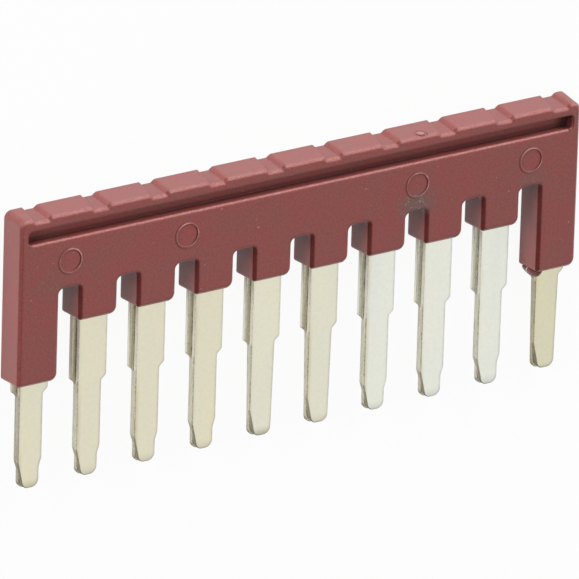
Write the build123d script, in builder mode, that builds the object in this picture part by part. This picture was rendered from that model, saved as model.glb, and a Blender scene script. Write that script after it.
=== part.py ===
"""Plug-in jumper bar for a row of rail-mounted terminal blocks.

A comb-shaped plastic housing is moulded round two stamped combs of tinned
copper that lie back to back, so that each of the ten legs has a two-leaf blade.

The bar lies on its flat back, as it comes to rest.  X runs along the row of
blades, +Y points from the blade tips to the top edge of the housing and +Z
points out of the front face.  The origin is under the middle of the bar.
"""

import math
import os

from build123d import *

# Row of blades
blade_count = 10
pitch = 5.2

# Housing, measured on the flat back, where its outline is largest
thickness = 2.4
mould_draft = 2.9
end_reach = 1.95
leg_width = 3.6
notch_depth = 6.5
middle_leg_depth = 9.47
end_leg_depth = 14.0
leg_left_radius = 0.3
leg_right_radius = 0.6
end_corner_radius = 0.6
notch_left_radius = 0.5
notch_right_radius = 0.3
front_edge_bevel = 0.22
outline_tolerance = 0.001

# Grooves across the top edge, one over each blade, and the pads between them; the left
# wall of a groove is sharp and flares towards the front, the right one is rounded
groove_depth = 0.25
groove_left_foot = 0.17
groove_left_run = 0.25
groove_left_flare = 7.8
groove_right_foot = 0.6
groove_right_run = 0.32
crest_radius = 0.45

# Long prying slot in the front face
slot_top = 1.03
slot_height = 1.17
slot_depth = 1.0
slot_end_reach = 1.2
slot_corner_radius = 0.35
slot_lip_radius = 0.25

# Round marks of the ejector pins, over the notches of these numbers
ejector_notches = (0, 2, 6, 8)
ejector_diameter = 2.05
ejector_level = 4.1
ejector_sink = 0.02
ejector_burr_width = 0.12
ejector_burr_height = 0.04

# Scar of the gate on the top edge, over the notch of this number
gate_notches = (6,)
gate_offset = 0.39
gate_from_front = 0.5
gate_diameter = 0.62
gate_height = 0.06

# Stamped combs
leaf_thickness = 0.35
leaf_joint_from_front = 1.42
leaf_edge_bevel = 0.07
comb_clearance = 0.02
web_top = 2.9
web_height = 3.0
blade_width = 2.13
shoulder_step = 0.44
shoulder_depth = 14.8
shoulder_slope = 0.4
shoulder_radius = 0.35
tip_depth = 22.95
tip_radius = 0.6
tip_cut_width = 0.5
tip_cut_length = 2.3
neck_step = 0.22
neck_slope = 0.7
neck_above_tip = 1.65

# Blades that are necked in near the tip, those that taper and those set higher
necked_blades = (0, 1, 2, 3, 6, 7, 8)
tapered_blades = (4, 5, 9)
blade_taper = 0.16
raised_blades = (9,)
blade_raise = 0.3

# Places that follow from the sizes
top_edge = tip_depth / 2
half_row = pitch * (blade_count - 1) / 2
half_length = half_row + end_reach
half_leg = leg_width / 2
half_blade = blade_width / 2
leaf_joint = thickness - leaf_joint_from_front
blade_places = [number * pitch - half_row for number in range(blade_count)]
notch_places = [place + pitch / 2 for place in blade_places[:-1]]


def below(depth):
    """Y of a level that is given as a depth below the top edge."""
    return top_edge - depth


def housing_outline():
    """Corners of the housing on its back plane: along the legs, then back along the top."""
    left_crest = groove_left_foot + groove_left_run
    right_crest = groove_right_foot + groove_right_run
    corners = []
    for number, place in enumerate(blade_places):
        first = number == 0
        last = number == blade_count - 1
        left = -half_length if first else place - half_leg
        right = half_length if last else place + half_leg
        bottom = below(end_leg_depth if first or last else middle_leg_depth)
        if not first:
            corners.append((left, below(notch_depth)))
        corners += [(left, bottom), (right, bottom)]
        if not last:
            corners.append((right, below(notch_depth)))
    corners.append((half_length, top_edge))
    for place in reversed(blade_places):
        corners += [(place + right_crest, top_edge),
                    (place + groove_right_foot, below(groove_depth)),
                    (place - groove_left_foot, below(groove_depth)),
                    (place - left_crest, top_edge)]
    corners.append((-half_length, top_edge))
    return corners


def corners_at(block, depth):
    """Upright edges of a drafted block that stand on its outline at a depth, left to right."""
    upright = block.edges().filter_by(lambda edge: edge.bounding_box().size.Z > thickness / 2)
    feet = upright.filter_by(lambda edge: abs(min(edge.vertices(), key=lambda end: end.Z).Y
                                              - below(depth)) < outline_tolerance)
    return feet.sort_by(Axis.X)


def faces_up_right(face):
    """Whether a side of the housing is the left wall of a groove."""
    normal = face.normal_at()
    return normal.X > 0.5 and normal.Y > 0.5


def blade_outline(number, side, grow=0.0):
    """Corners and corner radii of one blade of the comb whose shoulders face side."""
    place = blade_places[number]
    half = half_blade + grow
    raised = blade_raise if number in raised_blades else 0
    tip = below(tip_depth - raised + grow)
    shoulder = below(shoulder_depth - raised + grow)
    root = below(web_top + web_height / 2)
    across = [(-half, root), (-half, tip + tip_cut_length), (tip_cut_width - half, tip)]
    radii = [0, tip_radius, tip_radius]
    if number in tapered_blades:
        across.append((half - blade_taper, tip))
        radii.append(tip_radius)
    elif number in necked_blades:
        neck = tip + neck_above_tip
        across += [(half - neck_step, tip), (half - neck_step, neck), (half, neck + neck_slope)]
        radii += [tip_radius, tip_radius, tip_radius]
    else:
        across.append((half, tip))
        radii.append(tip_radius)
    across += [(half, shoulder - shoulder_slope), (half + shoulder_step, shoulder),
               (half + shoulder_step, root)]
    radii += [shoulder_radius, shoulder_radius, 0]
    return [(place + side * x, y) for x, y in across], radii


def comb_sketch(side, grow=0.0):
    """Flat outline of one stamped comb: its web and its ten blades."""
    with BuildSketch() as outline:
        for number in range(blade_count):
            corners, radii = blade_outline(number, side, grow)
            with BuildLine():
                FilletPolyline(*corners, radius=radii, close=True)
            make_face()
        web_length = 2 * (half_row + half_blade + shoulder_step + grow)
        with Locations((0, below(web_top + web_height / 2))):
            Rectangle(web_length, web_height + 2 * grow)
    return outline.sketch


# Housing: a drafted comb with rounded corners and a bevelled front
with BuildPart() as housing:
    with BuildSketch():
        with BuildLine():
            Polyline(*housing_outline(), close=True)
        make_face()
    extrude(amount=thickness)
    sides = housing.faces().filter_by(Axis.Z, reverse=True)
    draft(sides.filter_by(faces_up_right, reverse=True), Plane.XY, mould_draft)
    draft(housing.faces().filter_by(faces_up_right), Plane.XY, groove_left_flare)
    for depth, left_radius, right_radius in ((end_leg_depth, leg_left_radius, leg_right_radius),
                                             (middle_leg_depth, leg_left_radius, leg_right_radius),
                                             (notch_depth, notch_left_radius, notch_right_radius)):
        fillet(corners_at(housing, depth)[0::2], left_radius)
        fillet(corners_at(housing, depth)[1::2], right_radius)
    fillet(corners_at(housing, 0)[2:-1:2], crest_radius)
    top_corners = corners_at(housing, 0)
    fillet([top_corners[0], top_corners[-1]], end_corner_radius)
    chamfer(housing.faces().sort_by(Axis.Z)[-1].outer_wire().edges(), front_edge_bevel)

    # Prying slot, its lower lip rounded between the end corners
    slot_floor = below(slot_top + slot_height)
    half_slot = half_row + slot_end_reach
    with BuildSketch(Plane.XY.offset(thickness)):
        with Locations((0, slot_floor + slot_height / 2)):
            RectangleRounded(2 * half_slot, slot_height, slot_corner_radius)
    extrude(amount=-slot_depth, mode=Mode.SUBTRACT)
    with BuildSketch(Plane.YZ):
        with Locations((slot_floor, thickness)):
            Rectangle(2 * slot_lip_radius, 2 * slot_lip_radius)
        with Locations((slot_floor - slot_lip_radius, thickness - slot_lip_radius)):
            Circle(slot_lip_radius, mode=Mode.SUBTRACT)
    extrude(amount=half_slot - slot_corner_radius, both=True, mode=Mode.SUBTRACT)

    # Ejector marks: a sunk disc in a thin burr
    mark_places = [(notch_places[number], below(ejector_level)) for number in ejector_notches]
    with BuildSketch(Plane.XY.offset(thickness - ejector_sink)):
        with Locations(*mark_places):
            Circle(ejector_diameter / 2)
    extrude(amount=ejector_sink + ejector_burr_height)
    with BuildSketch(Plane.XY.offset(thickness - ejector_sink)):
        with Locations(*mark_places):
            Circle(ejector_diameter / 2 - ejector_burr_width)
    extrude(amount=ejector_sink + ejector_burr_height, mode=Mode.SUBTRACT)

    # Gate scar
    gate_level = thickness - gate_from_front
    pad_face = below(gate_level * math.tan(math.radians(mould_draft)))
    for number in gate_notches:
        gate_place = (notch_places[number] + gate_offset, pad_face, gate_level)
        with BuildSketch(Plane(origin=gate_place, z_dir=(0, 1, 0))):
            Circle(gate_diameter / 2)
        extrude(amount=gate_height, both=True)

    # Cavities that the two combs fill
    extrude(comb_sketch(1, comb_clearance).moved(Location((0, 0, leaf_joint))),
            amount=leaf_thickness + comb_clearance, mode=Mode.SUBTRACT)
    extrude(comb_sketch(-1, comb_clearance).moved(Location((0, 0, leaf_joint))),
            amount=-leaf_thickness - comb_clearance, mode=Mode.SUBTRACT)

# Front comb: the leaf of every blade that faces the front, its shoulders to the right
with BuildPart() as front_comb:
    extrude(comb_sketch(1).moved(Location((0, 0, leaf_joint))), amount=leaf_thickness)
    chamfer(front_comb.faces().filter_by(Axis.Z).edges(), leaf_edge_bevel)

# Back comb: its mirror image behind it, its shoulders to the left
with BuildPart() as back_comb:
    extrude(comb_sketch(-1).moved(Location((0, 0, leaf_joint))), amount=-leaf_thickness)
    chamfer(back_comb.faces().filter_by(Axis.Z).edges(), leaf_edge_bevel)

housing.part.label = "housing"
front_comb.part.label = "front_comb"
back_comb.part.label = "back_comb"

os.makedirs("parts", exist_ok=True)
export_step(housing.part, "parts/housing.step")
export_step(front_comb.part, "parts/front_comb.step")
export_step(back_comb.part, "parts/back_comb.step")
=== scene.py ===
"""Looks of the terminal block jumper bar: materials, moulding flash, floor, light and camera."""
import math
from types import SimpleNamespace

import bpy
from mathutils import Matrix, Vector


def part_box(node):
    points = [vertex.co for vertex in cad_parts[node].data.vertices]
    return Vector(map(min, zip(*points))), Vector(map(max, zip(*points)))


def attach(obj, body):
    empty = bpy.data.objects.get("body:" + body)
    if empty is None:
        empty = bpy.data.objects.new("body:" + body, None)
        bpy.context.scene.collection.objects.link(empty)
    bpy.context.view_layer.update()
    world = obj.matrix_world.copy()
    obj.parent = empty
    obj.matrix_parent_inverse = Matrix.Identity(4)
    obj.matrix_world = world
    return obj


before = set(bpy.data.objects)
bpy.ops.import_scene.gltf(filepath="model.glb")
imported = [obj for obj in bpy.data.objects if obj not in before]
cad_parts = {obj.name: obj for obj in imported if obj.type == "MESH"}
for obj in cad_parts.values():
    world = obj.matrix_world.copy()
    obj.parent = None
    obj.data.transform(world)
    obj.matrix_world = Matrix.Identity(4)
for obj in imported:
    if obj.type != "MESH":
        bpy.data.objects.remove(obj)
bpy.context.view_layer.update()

MM = 0.001

# Sizes of the part that the looks refer to, in millimetres; depths are below the top edge
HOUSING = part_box("housing")
LEFT_END = HOUSING[0].x / MM
TOP = HOUSING[1].y / MM
FRONT = 2.4
PITCH = 5.2
NOTCH_DEPTH = 6.5
SLOT_MIDDLE = 1.61
SLOT_FLOOR = 2.2
SLOT_END = 24.6
MARK_PLACES = (-4 * PITCH, -2 * PITCH, 2 * PITCH, 4 * PITCH)
MARK_DEPTH = 4.1
MARK_RADIUS = 0.985
GATE_PLACE = 2 * PITCH + 0.39
GATE_LEVEL = FRONT - 0.5
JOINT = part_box("front_comb")[0].z / MM
LEAF = 0.35
SHOULDER_DEPTH = 14.8
TIP_DEPTH = 22.95

# Colours used more than once: painted shade by the pin marks and furrows by the gate in the
# plastic, dirt and dull cuts on the metal
DARK_RED = (0.0887, 0.0160, 0.0137, 1)
DIRT = (0.05, 0.04, 0.03, 1)
DULL_BROWN = (0.26, 0.22, 0.15, 1)


# Small language for node trees

def wire(tree, kind, inputs=None, **settings):
    """A new node with its settings and inputs; an input is a value or another node's socket."""
    made = tree.nodes.new(kind)
    for name, value in settings.items():
        setattr(made, name, value)
    for name, value in (inputs or {}).items():
        lead(tree, value, made.inputs[name])
    return made


def lead(tree, value, socket):
    """Sets a socket to a value, or links it to another node's socket."""
    if isinstance(value, bpy.types.NodeSocket):
        tree.links.new(value, socket)
    else:
        socket.default_value = value


def calc(tree, operation, *values):
    """Result of a Math node."""
    return wire(tree, "ShaderNodeMath", dict(enumerate(values)), operation=operation).outputs[0]


def ramp(tree, value, low, high, to_low=0.0, to_high=1.0):
    """A value carried smoothly from one range to another, and held at its ends."""
    made = wire(tree, "ShaderNodeMapRange", {
        "Value": value, "From Min": low, "From Max": high, "To Min": to_low, "To Max": to_high,
    }, interpolation_type="SMOOTHSTEP")
    return made.outputs["Result"]


def blend(tree, factor, first, second, blend_type="MIX"):
    """Mix of two colours."""
    made = wire(tree, "ShaderNodeMix", data_type="RGBA", blend_type=blend_type)
    for index, value in ((0, factor), (6, first), (7, second)):
        lead(tree, value, made.inputs[index])
    return made.outputs[2]


def tinted(tree, factor, colour, tint):
    """A colour multiplied by a tint where the factor is on."""
    return blend(tree, factor, colour, tint, "MULTIPLY")


def total(tree, *values):
    """Sum of several values."""
    result = values[0]
    for value in values[1:]:
        result = calc(tree, "ADD", result, value)
    return result


def times(tree, *values):
    """Product of several values."""
    result = values[0]
    for value in values[1:]:
        result = calc(tree, "MULTIPLY", result, value)
    return result


def noise(tree, place, scale, detail=2.0, roughness=0.5):
    """Noise of a scale in features per millimetre."""
    return wire(tree, "ShaderNodeTexNoise", {
        "Vector": place, "Scale": scale, "Detail": detail, "Roughness": roughness,
    }).outputs["Fac"]


def stretched(tree, place, x=1.0, y=1.0, z=1.0):
    """Coordinates scaled along the axes."""
    return wire(tree, "ShaderNodeVectorMath", {0: place, 1: (x, y, z)},
                operation="MULTIPLY").outputs["Vector"]


def split(tree, vector):
    """The three components of a vector."""
    return wire(tree, "ShaderNodeSeparateXYZ", {"Vector": vector}).outputs


def offset(tree, value, centre, radius=1.0):
    """Signed distance of a coordinate from a centre, in radii."""
    return calc(tree, "DIVIDE", calc(tree, "SUBTRACT", value, centre), radius)


def length(tree, first, second):
    """Length of a flat vector."""
    return calc(tree, "SQRT", total(tree, times(tree, first, first), times(tree, second, second)))


def spot(tree, first, second, soft=0.5):
    """Soft round mask over two offsets, 1 inside and 0 outside."""
    return ramp(tree, length(tree, first, second), 1 + soft, 1 - soft)


def band(tree, value, centre, half, soft):
    """Mask of a narrow range of a value."""
    away = calc(tree, "ABSOLUTE", calc(tree, "SUBTRACT", value, centre))
    return ramp(tree, away, half + soft, half)


def rounded_normal(tree, radius):
    """Surface normal with the edges rounded, by a radius in millimetres."""
    return wire(tree, "ShaderNodeBevel", {"Radius": radius * MM}, samples=8).outputs["Normal"]


def bumped(tree, height, depth, normal):
    """Normal disturbed by a height, to a depth in millimetres."""
    return wire(tree, "ShaderNodeBump", {
        "Height": height, "Distance": depth * MM, "Strength": 1.0, "Normal": normal,
    }).outputs["Normal"]


def empty_tree(owner):
    """The node tree of a material or world, emptied."""
    owner.use_nodes = True
    owner.node_tree.nodes.clear()
    return owner.node_tree


def start_material(name):
    """A material, its tree and the place on the part: the coordinates in millimetres."""
    made = bpy.data.materials.new(name)
    tree = empty_tree(made)
    place = stretched(tree, wire(tree, "ShaderNodeTexCoord").outputs["Object"], *(3 * [1 / MM]))
    axes = split(tree, place)
    return made, tree, SimpleNamespace(place=place, x=axes["X"], y=axes["Y"], z=axes["Z"])


def finish_material(tree, shader):
    """Leads a shader to the output."""
    tree.links.new(shader, wire(tree, "ShaderNodeOutputMaterial").inputs["Surface"])


# Plastic

def nylon_surface(tree, at, colour, grain, depth, polish=0.0):
    """Satin shader with softened edges and a fine moulded grain, hazier at a glancing view."""
    glance = wire(tree, "ShaderNodeLayerWeight", {"Blend": 0.5}).outputs["Facing"]
    haze = times(tree, ramp(tree, glance, 0.15, 0.65, 0.35, 0.95),
                 calc(tree, "SUBTRACT", 1.0, polish))
    return wire(tree, "ShaderNodeBsdfPrincipled", {
        "Base Color": colour, "Roughness": ramp(tree, grain, 0.3, 0.7, 0.38, 0.5),
        "Specular IOR Level": haze, "IOR": 1.5,
        "Normal": bumped(tree, noise(tree, at.place, 8.0, 3, 0.7), depth,
                         rounded_normal(tree, 0.26)),
    }).outputs["BSDF"]


def add_edge_highlights(tree, at, colour):
    """Painted highlights along the row's edges, broken into a pale sparkle, on edges that face up
    and down.
    """
    sparkle = ramp(tree, noise(tree, at.place, 9.0, 2, 0.7), 0.4, 0.62, 0.35, 1.0)
    # Painted highlight on the edges that face up, stronger lower down along the slot's lip
    upper = times(tree, ramp(tree, at.normal["Z"], 0.2, 0.55),
                  ramp(tree, at.normal["Z"], 0.98, 0.85), ramp(tree, at.normal["Y"], 0.3, 0.6),
                  ramp(tree, at.y, TOP - 1.2, TOP - 1.8, 0.5, 0.85), sparkle)
    colour = blend(tree, upper, colour, (0.56, 0.25, 0.235, 1))
    # Painted highlight on the edges that face down, a little weaker
    lower = times(tree, ramp(tree, at.normal["Z"], 0.1, 0.4),
                  ramp(tree, at.normal["Y"], -0.4, -0.75), sparkle)
    return blend(tree, times(tree, lower, 0.7), colour, (0.50, 0.22, 0.20, 1))


def add_notch_shade(tree, at, colour):
    """Shade high up in the notches, on the sides that face left."""
    shade = times(tree, ramp(tree, at.normal["X"], -0.5, -0.9),
                  ramp(tree, at.y, TOP - NOTCH_DEPTH - 1.7, TOP - NOTCH_DEPTH - 0.1),
                  ramp(tree, at.y, TOP - NOTCH_DEPTH + 0.3, TOP - NOTCH_DEPTH + 0.1),
                  ramp(tree, at.x, LEFT_END + 0.45, LEFT_END + 0.65))
    return tinted(tree, times(tree, shade, 0.7), colour, (0.40, 0.38, 0.38, 1))


def add_slot_light_and_shade(tree, at, colour):
    """Painted light on the slot's back wall, and painted shade on its floor and in its right end.
    """
    inside = times(tree, ramp(tree, at.z, FRONT - 0.15, FRONT - 0.3),
                   band(tree, at.y, TOP - SLOT_MIDDLE, 0.6, 0.05),
                   band(tree, at.x, 0.0, SLOT_END + 0.1, 0.1))
    # Painted light on the back wall deep in the slot
    wall = times(tree, ramp(tree, at.z, FRONT - 0.85, FRONT - 0.95),
                 band(tree, at.y, TOP - SLOT_MIDDLE + 0.11, 0.2, 0.35), inside)
    colour = tinted(tree, times(tree, wall, 0.25), colour, (2.0, 2.0, 2.0, 1))
    # Painted shade on the slot's floor
    crevice = times(tree, ramp(tree, at.z, FRONT - 0.5, FRONT - 0.9),
                    ramp(tree, at.y, TOP - SLOT_FLOOR + 0.35, TOP - SLOT_FLOOR + 0.05), inside)
    colour = tinted(tree, times(tree, crevice, 0.7), colour, (0.34, 0.26, 0.26, 1))
    # Painted shade in the slot's right end
    pocket = times(tree, inside, ramp(tree, at.x, SLOT_END - 1.4, SLOT_END - 0.3), 0.65)
    return tinted(tree, pocket, colour, (0.12, 0.05, 0.045, 1))


def add_scuffs(tree, at, colour):
    """Grey scuffs under three of the pin marks, with small pale grains, and scattered specks."""
    near_front = ramp(tree, at.z, FRONT - 1.6, FRONT - 0.6)
    flecks = ramp(tree, noise(tree, at.place, 3.0, 4, 0.7), 0.3, 0.6, 0.5, 1.0)
    grains = ramp(tree, noise(tree, at.place, 6.0, 2, 0.5), 0.62, 0.68)
    for x, depth, width, height, strength in ((10.4, 5.8, 1.4, 0.95, 0.9),
                                              (20.9, 5.7, 1.3, 0.7, 0.35),
                                              (-22.3, 5.6, 1.3, 1.1, 0.25)):
        patch = times(tree, near_front, spot(tree, offset(tree, at.x, x, width),
                                             offset(tree, at.y, TOP - depth, height), 0.65))
        colour = blend(tree, times(tree, patch, flecks, strength), colour,
                       (0.155, 0.098, 0.083, 1))
        colour = blend(tree, times(tree, patch, grains, strength, 0.6), colour,
                       (0.42, 0.31, 0.28, 1))
    specks = ramp(tree, noise(tree, at.place, 3.2, 2, 0.4), 0.755, 0.79)
    return blend(tree, times(tree, specks, near_front, 0.8), colour, (0.50, 0.30, 0.27, 1))


def add_pin_marks(tree, at, colour):
    """Pin marks: a raised ring with a painted highlight towards the upper right, and painted shade
    on its flanks, inside at the right and outside at the left.
    """
    on_front = ramp(tree, at.z, FRONT - 0.1, FRONT - 0.03)
    patchy = ramp(tree, noise(tree, at.place, 1.4, 3), 0.35, 0.6, 0.25, 1.0)
    down = offset(tree, at.y, TOP - MARK_DEPTH)
    for centre in MARK_PLACES:
        across = offset(tree, at.x, centre)
        away = length(tree, across, down)
        disc = times(tree, ramp(tree, away, MARK_RADIUS, MARK_RADIUS - 0.1), on_front, 0.6)
        colour = tinted(tree, disc, colour, (1.12, 0.92, 0.95, 1))
        # Painted shade on the ring's inner flank at the right and its outer flank at the left
        inner = times(tree, band(tree, away, MARK_RADIUS - 0.1, 0.02, 0.05),
                      ramp(tree, across, -0.3, 0.7))
        outer = times(tree, band(tree, away, MARK_RADIUS + 0.11, 0.02, 0.08),
                      ramp(tree, across, 0.2, -0.7))
        furrow = times(tree, calc(tree, "MAXIMUM", inner, outer), on_front, 0.4)
        colour = blend(tree, furrow, colour, DARK_RED)
        # Painted highlight on the ring, patchy, strongest towards the upper right
        upper_right = total(tree, across, down)
        burr = times(tree, band(tree, away, MARK_RADIUS, 0.02, 0.05),
                     ramp(tree, upper_right, -1.2, 0.8, 0.3, 1.0), patchy, on_front)
        colour = blend(tree, burr, colour, (0.6172, 0.2961, 0.2705, 1))
    return colour


def add_gate_scar(tree, at, colour):
    """Scar of the gate on the top edge: a bright stub in two broken furrows."""
    on_top = ramp(tree, at.y, TOP - 0.2, TOP - 0.15)
    across = offset(tree, at.x, GATE_PLACE)
    away = length(tree, across, offset(tree, at.z, GATE_LEVEL))
    stub = times(tree, ramp(tree, away, 0.34, 0.28), on_top, 0.7)
    colour = blend(tree, stub, colour, (0.52, 0.17, 0.15, 1))
    furrows = calc(tree, "MAXIMUM", band(tree, away, 0.35, 0.03, 0.04),
                   band(tree, away, 0.52, 0.05, 0.05))
    broken = ramp(tree, noise(tree, at.place, 4.0, 2), 0.3, 0.5, 0.4, 1.0)
    lip = times(tree, furrows, on_top, broken, ramp(tree, across, -0.4, 0.1, 0.35, 1.0))
    return blend(tree, times(tree, lip, 0.9), colour, DARK_RED)


def moulded_plastic():
    """Dull red moulded nylon: fine grain, soft blotches, painted highlights and shade on the
    edges, painted shade in the notches, painted light and shade in the slot, pin marks, scuffs.
    """
    made, tree, at = start_material("red_nylon")
    # A rounded normal lets the edges' masks fade over the bevels
    at.normal = split(tree, rounded_normal(tree, 0.25))
    blotches = ramp(tree, noise(tree, at.place, 0.35, 8, 0.8), 0.35, 0.65)
    colour = blend(tree, blotches, (0.262, 0.058, 0.052, 1), (0.233, 0.066, 0.058, 1))
    grain = noise(tree, at.place, 5.0, 3, 0.6)
    colour = tinted(tree, ramp(tree, grain, 0.4, 0.6), colour, (1.2, 1.18, 1.18, 1))
    colour = add_edge_highlights(tree, at, colour)

    # Painted shade on the upright edges that face left, weaker at the left end; these edges also
    # get less haze
    upright = times(tree, ramp(tree, at.normal["Z"], 0.08, 0.5),
                    ramp(tree, at.normal["X"], -0.08, -0.6),
                    ramp(tree, at.x, LEFT_END + 0.45, LEFT_END + 0.75, 0.25, 1.0))
    colour = tinted(tree, upright, colour, (0.46, 0.41, 0.41, 1))

    for layer in (add_notch_shade, add_slot_light_and_shade, add_scuffs, add_pin_marks, add_gate_scar):
        colour = layer(tree, at, colour)
    polish = times(tree, upright, 0.8)
    finish_material(tree, nylon_surface(tree, at, colour, grain, 0.022, polish))
    return made


def flash_plastic():
    """Darker and glossier skin of the moulding flash."""
    made, tree, at = start_material("nylon_flash")
    cloud = noise(tree, at.place, 2.2, 3, 0.6)
    colour = blend(tree, ramp(tree, cloud, 0.35, 0.65), (0.21, 0.050, 0.045, 1),
                   (0.15, 0.036, 0.031, 1))
    glint = times(tree, band(tree, at.z, 1.0, 0.03, 0.04), ramp(tree, at.x, 21.95, 21.8),
                  ramp(tree, at.y, -2.95, -2.88))
    colour = blend(tree, glint, colour, (0.80, 0.74, 0.66, 1))
    finish_material(tree, nylon_surface(tree, at, colour, cloud, 0.02))
    return made


# Metal

def find_blade(tree, at):
    """Adds where a point lies on its blade, and the uneven masks that the layers share."""
    at.along = calc(tree, "DIVIDE", at.x, PITCH)
    at.local = calc(tree, "SUBTRACT", calc(tree, "WRAP", at.x, PITCH, 0.0), PITCH / 2)
    at.level = calc(tree, "SUBTRACT", at.z, JOINT)
    at.normal = split(tree, wire(tree, "ShaderNodeNewGeometry").outputs["True Normal"])
    at.above = ramp(tree, at.y, TOP - SHOULDER_DEPTH - 0.5, TOP - SHOULDER_DEPTH)
    at.first_blade = ramp(tree, at.along, -3.8, -4.2)
    at.fifth_blade = band(tree, at.along, -0.5, 0.3, 0.1)
    at.last_blade = ramp(tree, at.along, 3.8, 4.2)
    at.cloud = noise(tree, stretched(tree, at.place, 1, 0.4, 1), 0.45, 3)
    at.uneven = noise(tree, stretched(tree, at.place, 0.6, 1, 0.3), 0.8, 4, 0.7)
    at.serrated = ramp(tree, noise(tree, at.place, 4.0, 2), 0.35, 0.6, 0.35, 1.0)
    at.calm_above = ramp(tree, at.above, 0.0, 1.0, 1.0, 0.4)


def plated_faces(tree, at):
    """Colour of the faces: cream to white along the row, mottled, stained beside the left edge."""
    before_last = ramp(tree, at.along, 4.2, 3.8)
    paler = times(tree, ramp(tree, at.along, -1.2, -0.8), before_last)
    whiter = times(tree, ramp(tree, at.along, 0.8, 1.2), before_last)
    tone = total(tree, times(tree, paler, 0.25), times(tree, whiter, 0.6),
                 ramp(tree, at.cloud, 0.3, 0.7, 0.0, 0.25))
    colour = blend(tree, tone, (0.835, 0.785, 0.59, 1), (0.885, 0.90, 0.81, 1))
    mottle = noise(tree, at.place, 3.0, 4, 0.7)
    colour = tinted(tree, ramp(tree, mottle, 0.3, 0.7), colour, (0.95, 0.95, 0.94, 1))
    patches = noise(tree, stretched(tree, at.place, 1, 0.3, 1), 0.35, 4)
    stain = times(tree, ramp(tree, at.local, -0.6, -1.0),
                  ramp(tree, patches, 0.46, 0.62, 0.15, 1.0))
    colour = blend(tree, times(tree, stain, 0.5), colour, (0.60, 0.50, 0.30, 1))
    return tinted(tree, at.last_blade, colour, (0.92, 0.93, 0.88, 1))


def sheared_sides(tree, at):
    """Colour of the sides: streaked, with painted light above the shoulders and in the joint,
    dirty in the joint and the cuts.
    """
    streaks = noise(tree, stretched(tree, at.place, 2, 0.5, 5), 1.4, 4, 0.65)
    colour = blend(tree, ramp(tree, streaks, 0.42, 0.62), (0.70, 0.675, 0.565, 1),
                   (0.56, 0.525, 0.425, 1))
    # Painted light above the shoulders, where the neighbouring legs shade the sides
    colour = blend(tree, times(tree, at.above, 0.9), colour, (0.95, 0.93, 0.82, 1))
    rim = times(tree, ramp(tree, at.level, LEAF - 0.08, LEAF - 0.05),
                ramp(tree, at.uneven, 0.4, 0.62, 0.2, 0.7), at.calm_above)
    colour = blend(tree, rim, colour, (0.38, 0.31, 0.19, 1))
    # Painted light in the groove at the joint, lifting its shade
    colour = blend(tree, band(tree, at.level, 0.0, 0.01, 0.06), colour, (0.80, 0.77, 0.66, 1))
    dirt = times(tree, band(tree, at.level, 0.0, 0.01, 0.035), at.above, at.serrated,
                 ramp(tree, at.uneven, 0.4, 0.55, 0.1, 1.0))
    colour = blend(tree, times(tree, dirt, 0.5), colour, DIRT)
    # Painted light along the middle of the front leaf's side above the shoulders
    bright = times(tree, band(tree, at.level, 0.19, 0.06, 0.06), at.above,
                   ramp(tree, at.cloud, 0.4, 0.55))
    colour = blend(tree, bright, colour, (0.90, 0.87, 0.76, 1))
    cut = ramp(tree, at.normal["Y"], -0.1, -0.18)
    colour = blend(tree, times(tree, cut, 0.35), colour, DULL_BROWN)
    burnt = times(tree, cut, ramp(tree, at.level, LEAF - 0.2, LEAF - 0.1),
                  ramp(tree, at.y, TOP - TIP_DEPTH + 2.55, TOP - TIP_DEPTH + 0.75, 0.5, 1.0))
    colour = blend(tree, times(tree, burnt, 0.85), colour, (0.10, 0.075, 0.04, 1))
    # Painted shade on the sides of the first and last blades, browner on the last
    colour = tinted(tree, at.first_blade, colour, (0.62, 0.61, 0.62, 1))
    return tinted(tree, at.last_blade, colour, (0.72, 0.70, 0.62, 1))


def add_rim_shade(tree, at, colour):
    """Painted shade on the rolled edges of a face, where they turn towards its right side and its
    tip.
    """
    edge = split(tree, rounded_normal(tree, 0.36))
    rolled_off = calc(tree, "SUBTRACT", times(tree, edge["X"], 0.8), times(tree, edge["Y"], 0.6))
    # Painted shade on the rolled edges that turn right or down
    dull = times(tree, ramp(tree, rolled_off, 0.0, 0.3), ramp(tree, at.normal["Z"], 0.8, 0.95),
                 ramp(tree, at.uneven, 0.3, 0.6, 0.6, 1.0))
    return tinted(tree, dull, colour, (0.72, 0.72, 0.77, 1))


def add_rough_shoulders(tree, at, colour):
    """Rough front of the back leaf's shoulders, with painted shade across it, darkest in the
    middle, and dirt where the front leaf begins.
    """
    shoulder = times(tree, band(tree, at.level, 0.0, 0.004, 0.01), at.above,
                     ramp(tree, at.normal["Z"], 0.8, 0.95))
    # Painted shade on the shoulder's front, darkest across the middle of the strip
    middle = times(tree, ramp(tree, at.local, -1.5, -1.3), ramp(tree, at.local, -1.1, -1.24))
    shoulder_shade = blend(tree, middle, (0.92, 0.91, 0.89, 1), (0.58, 0.57, 0.55, 1))
    colour = tinted(tree, shoulder, colour, shoulder_shade)
    torn = times(tree, shoulder, ramp(tree, noise(tree, at.place, 5.0, 3, 0.6), 0.53, 0.62), 0.5)
    colour = blend(tree, torn, colour, (0.30, 0.28, 0.22, 1))
    corner = times(tree, shoulder, ramp(tree, at.local, -1.16, -1.1), at.serrated,
                   ramp(tree, at.uneven, 0.45, 0.6, 0.0, 0.4))
    return blend(tree, corner, colour, DIRT)


def add_worn_tips(tree, at, colour):
    """Tips worn grey, most of all on the fifth blade."""
    wear = total(tree, times(tree, at.first_blade, 0.15), times(tree, at.last_blade, 0.2),
                 times(tree, at.fifth_blade, 0.3), 0.24)
    worn = times(tree, ramp(tree, at.y, TOP - TIP_DEPTH + 0.85, TOP - TIP_DEPTH), wear)
    return blend(tree, worn, colour, (0.25, 0.24, 0.17, 1))


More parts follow.
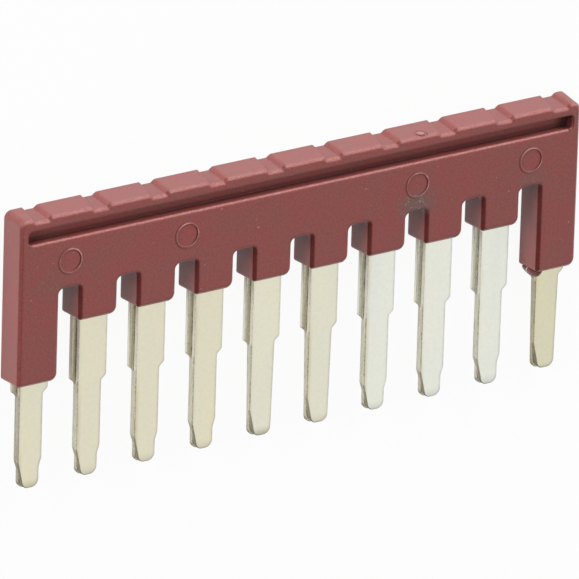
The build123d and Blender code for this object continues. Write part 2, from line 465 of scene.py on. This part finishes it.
def add_edge_wear(tree, at, side, colour):
    """Dark nicks along the bevel of the front leaf, and dull sides round the tips."""
    nicks = times(tree, band(tree, calc(tree, "ABSOLUTE", at.normal["Z"]), 0.707, 0.1, 0.1),
                  ramp(tree, noise(tree, at.place, 4.5, 3), 0.48, 0.62),
                  ramp(tree, at.level, 0.1, 0.2), at.calm_above)
    colour = blend(tree, times(tree, nicks, 0.55), colour, (0.24, 0.19, 0.11, 1))
    tip = times(tree, side, ramp(tree, at.y, TOP - TIP_DEPTH + 2.15, TOP - TIP_DEPTH + 0.75),
                ramp(tree, at.normal["Y"], 0.1, -0.3))
    return blend(tree, times(tree, tip, 0.6), colour, DULL_BROWN)


def tinned_copper():
    """Satin tin over stamped copper: cream, whiter on some blades, rough and grey in the shear."""
    made, tree, at = start_material("tinned_copper")
    find_blade(tree, at)
    colour = plated_faces(tree, at)
    for layer in (add_rim_shade, add_rough_shoulders, add_worn_tips):
        colour = layer(tree, at, colour)
    side = ramp(tree, calc(tree, "ABSOLUTE", at.normal["Z"]), 0.95, 0.6)
    colour = blend(tree, side, colour, sheared_sides(tree, at))
    colour = add_edge_wear(tree, at, side, colour)

    rolling = noise(tree, stretched(tree, at.place, 1, 0.25, 1), 4.0, 3)
    shader = wire(tree, "ShaderNodeBsdfPrincipled", {
        "Base Color": colour, "Metallic": ramp(tree, side, 0.2, 0.8, 1.0, 0.2),
        "Roughness": total(tree, ramp(tree, at.cloud, 0.3, 0.7, 0.28, 0.36),
                           times(tree, side, 0.3)),
        "Normal": bumped(tree, rolling, 0.004, rounded_normal(tree, 0.05)),
    })
    finish_material(tree, shader.outputs["BSDF"])
    return made


plastic = moulded_plastic()
metal = tinned_copper()
for name, material in (("housing", plastic), ("front_comb", metal), ("back_comb", metal)):
    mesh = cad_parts[name].data
    mesh.materials.clear()
    mesh.materials.append(material)


# Flash that the mould left round the shoulder of the last blade

def add_flash():
    """An uneven drop of plastic under the left corner of the last leg."""
    # Level of each ring, and the places of its points across and towards the front
    rings = (
        (-2.38, ((21.66, 0.05), (21.66, 0.90), (21.70, 1.80), (21.92, 2.20), (22.42, 2.18),
                 (22.70, 1.85), (22.55, 1.20), (22.15, 0.20))),
        (-2.64, ((21.60, 0.05), (21.60, 0.95), (21.70, 1.75), (21.94, 2.14), (22.38, 2.10),
                 (22.62, 1.80), (22.50, 1.20), (22.15, 0.30))),
        (-2.88, ((21.72, 0.60), (21.70, 1.10), (21.82, 1.70), (22.02, 1.98), (22.32, 1.94),
                 (22.48, 1.70), (22.40, 1.20), (22.15, 0.65))),
        (-3.08, ((21.90, 0.90), (21.90, 1.15), (21.98, 1.55), (22.10, 1.74), (22.28, 1.70),
                 (22.38, 1.55), (22.32, 1.20), (22.15, 0.92))),
    )
    around = len(rings[0][1])
    points = [(x * MM, y * MM, z * MM) for y, ring in rings for x, z in ring]
    faces = [tuple(reversed(range(around)))]
    for level in range(len(rings) - 1):
        for step in range(around):
            after = (step + 1) % around
            faces.append((level * around + step, level * around + after,
                          (level + 1) * around + after, (level + 1) * around + step))
    faces.append(tuple(range((len(rings) - 1) * around, len(rings) * around)))
    mesh = bpy.data.meshes.new("mould_flash")
    mesh.from_pydata(points, [], faces)
    mesh.materials.append(flash_plastic())
    for polygon in mesh.polygons:
        polygon.use_smooth = True
    flash = bpy.data.objects.new("mould_flash", mesh)
    smooth = flash.modifiers.new("smooth", "SUBSURF")
    smooth.levels = 3
    smooth.render_levels = 3
    bpy.context.collection.objects.link(flash)
    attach(flash, "root")


add_flash()


# Floor, world and lamps

def studio_floor():
    """White floor that stays white for the camera and keeps the bar's shadow."""
    made = bpy.data.materials.new("studio_floor")
    tree = empty_tree(made)
    path = wire(tree, "ShaderNodeLightPath").outputs
    seen = calc(tree, "MAXIMUM", path["Is Camera Ray"], path["Is Glossy Ray"])
    paper = wire(tree, "ShaderNodeBsdfDiffuse", {"Color": (0.9, 0.9, 0.9, 1)}).outputs["BSDF"]
    glow = wire(tree, "ShaderNodeEmission", {"Color": (1, 1, 1, 1), "Strength": 1.0}).outputs[0]
    mixed = wire(tree, "ShaderNodeMixShader", {0: times(tree, seen, 0.93), 1: paper, 2: glow})
    finish_material(tree, mixed.outputs[0])
    return made


def add_floor():
    """A wide floor just under the bar."""
    half = 3.0
    mesh = bpy.data.meshes.new("floor")
    mesh.from_pydata([(-half, -half, 0), (half, -half, 0), (half, half, 0), (-half, half, 0)], [],
                     [(0, 1, 2, 3)])
    mesh.materials.append(studio_floor())
    floor = bpy.data.objects.new("floor", mesh)
    floor.location.z = -0.01 * MM
    bpy.context.collection.objects.link(floor)


def add_world():
    """Pale tent of light: brighter low on the right, dim where the photographer stood."""
    world = bpy.data.worlds.new("tent")
    bpy.context.scene.world = world
    tree = empty_tree(world)
    direction = wire(tree, "ShaderNodeTexCoord").outputs["Generated"]
    level = 0.57
    for centre, low, high, change in (((0.49, -0.40, 0.77), 0.7, 0.98, 0.37),
                                      ((-0.72, -0.30, 0.63), 0.3, 0.92, -0.50)):
        towards = wire(tree, "ShaderNodeVectorMath",
                       {0: direction, 1: Vector(centre).normalized()},
                       operation="DOT_PRODUCT").outputs["Value"]
        level = total(tree, level, ramp(tree, towards, low, high, 0.0, change))
    background = wire(tree, "ShaderNodeBackground", {"Color": (1, 1, 1, 1), "Strength": level})
    tree.links.new(background.outputs[0], wire(tree, "ShaderNodeOutputWorld").inputs["Surface"])


def add_softbox(name, towards, distance, size, radiance):
    """A square area lamp that faces the bar from a direction."""
    lamp = bpy.data.lights.new(name, "AREA")
    lamp.shape = "SQUARE"
    lamp.size = size
    lamp.energy = radiance * math.pi * size ** 2
    holder = bpy.data.objects.new(name, lamp)
    away = Vector(towards).normalized()
    holder.location = away * distance
    holder.rotation_euler = away.to_track_quat("Z", "Y").to_euler()
    bpy.context.collection.objects.link(holder)


add_floor()
add_world()
add_softbox("top_light", (0.45, 0.86, 0.22), distance=0.5, size=0.35, radiance=5.1)
add_softbox("left_light", (-0.88, 0.36, 0.30), distance=0.5, size=0.35, radiance=5.0)


# Camera, as it stood towards the upright bar

def add_camera():
    """Camera with the place and lens fitted to the photograph."""
    turn = math.radians(-32.483)
    lift = math.radians(23.545)
    roll = math.radians(1.7716)
    distance = 1.07032
    focal_pixels = 13921.3
    picture_pixels = 579
    target = Vector((-1.0281, 0.9158, FRONT)) * MM
    back = Vector((math.sin(turn) * math.cos(lift), math.sin(lift),
                   math.cos(turn) * math.cos(lift)))
    level = Vector((math.cos(turn), 0, -math.sin(turn)))
    upright = back.cross(level)
    right = level * math.cos(roll) + upright * math.sin(roll)
    up = upright * math.cos(roll) - level * math.sin(roll)
    lens = bpy.data.cameras.new("camera")
    lens.sensor_width = 36
    lens.lens = focal_pixels * lens.sensor_width / picture_pixels
    lens.clip_start = 0.01
    lens.clip_end = 20
    camera = bpy.data.objects.new("camera", lens)
    turned = Matrix((right, up, back)).transposed().to_4x4()
    camera.matrix_world = Matrix.Translation(target + back * distance) @ turned
    bpy.context.collection.objects.link(camera)
    bpy.context.scene.camera = camera


add_camera()
bpy.context.scene.view_settings.view_transform = "Standard"
